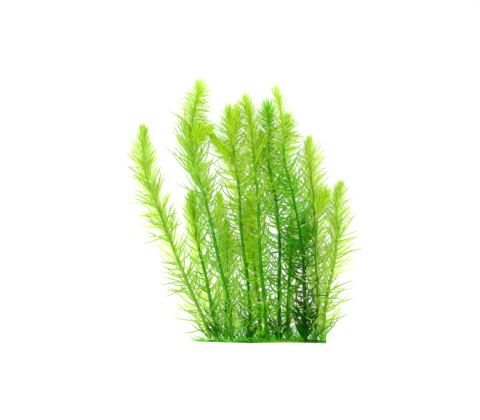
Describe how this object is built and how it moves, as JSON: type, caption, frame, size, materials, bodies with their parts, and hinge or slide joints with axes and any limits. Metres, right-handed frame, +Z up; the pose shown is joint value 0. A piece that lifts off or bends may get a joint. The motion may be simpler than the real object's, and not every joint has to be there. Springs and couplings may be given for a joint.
{
  "type": "stream bogmoss plant",
  "caption": "Leafy water plant lying on its side: slender green stems crowded with soft needle leaves, with short side branches, growing from one creeping base stem.",
  "frame": {"origin": "centre of the plant's footprint, on the surface it lies on", "axes": "+Y along the shoots from their feet to their tips, +X across the plant, +Z up from the surface"},
  "size_m": [0.1409, 0.1595, 0.0285],
  "materials": {
    "base_stem": "satin dark green stem tissue",
    "young_shoot": "satin, thin pale yellow-green leaf tissue that lets light through",
    "green_shoot": "satin, thin mid green leaf tissue that lets light through",
    "dark_shoot": "satin, thin dark green leaf tissue that lets light through",
    "leaf_stem": "satin green stem tissue"
  },
  "bodies": {
    "root": {"base_stem": "base_stem", "shoot_01": "young_shoot", "shoot_02": "green_shoot", "shoot_03": "green_shoot", "shoot_04": "green_shoot", "shoot_05": "green_shoot", "shoot_06": "young_shoot", "shoot_07": "green_shoot", "shoot_08": "dark_shoot", "shoot_09": "dark_shoot", "shoot_10": "dark_shoot", "shoot_11": "green_shoot", "shoot_12": "green_shoot", "shoot_04_lower_branch": "young_shoot", "shoot_04_upper_branch": "young_shoot", "shoot_05_lower_branch": "young_shoot", "shoot_05_upper_branch": "young_shoot", "shoot_07_branch": "young_shoot", "shoot_10_upper_branch": "young_shoot", "shoot_10_lower_branch": "dark_shoot", "shoot_11_branch": "young_shoot"}
  },
  "joints": []
}
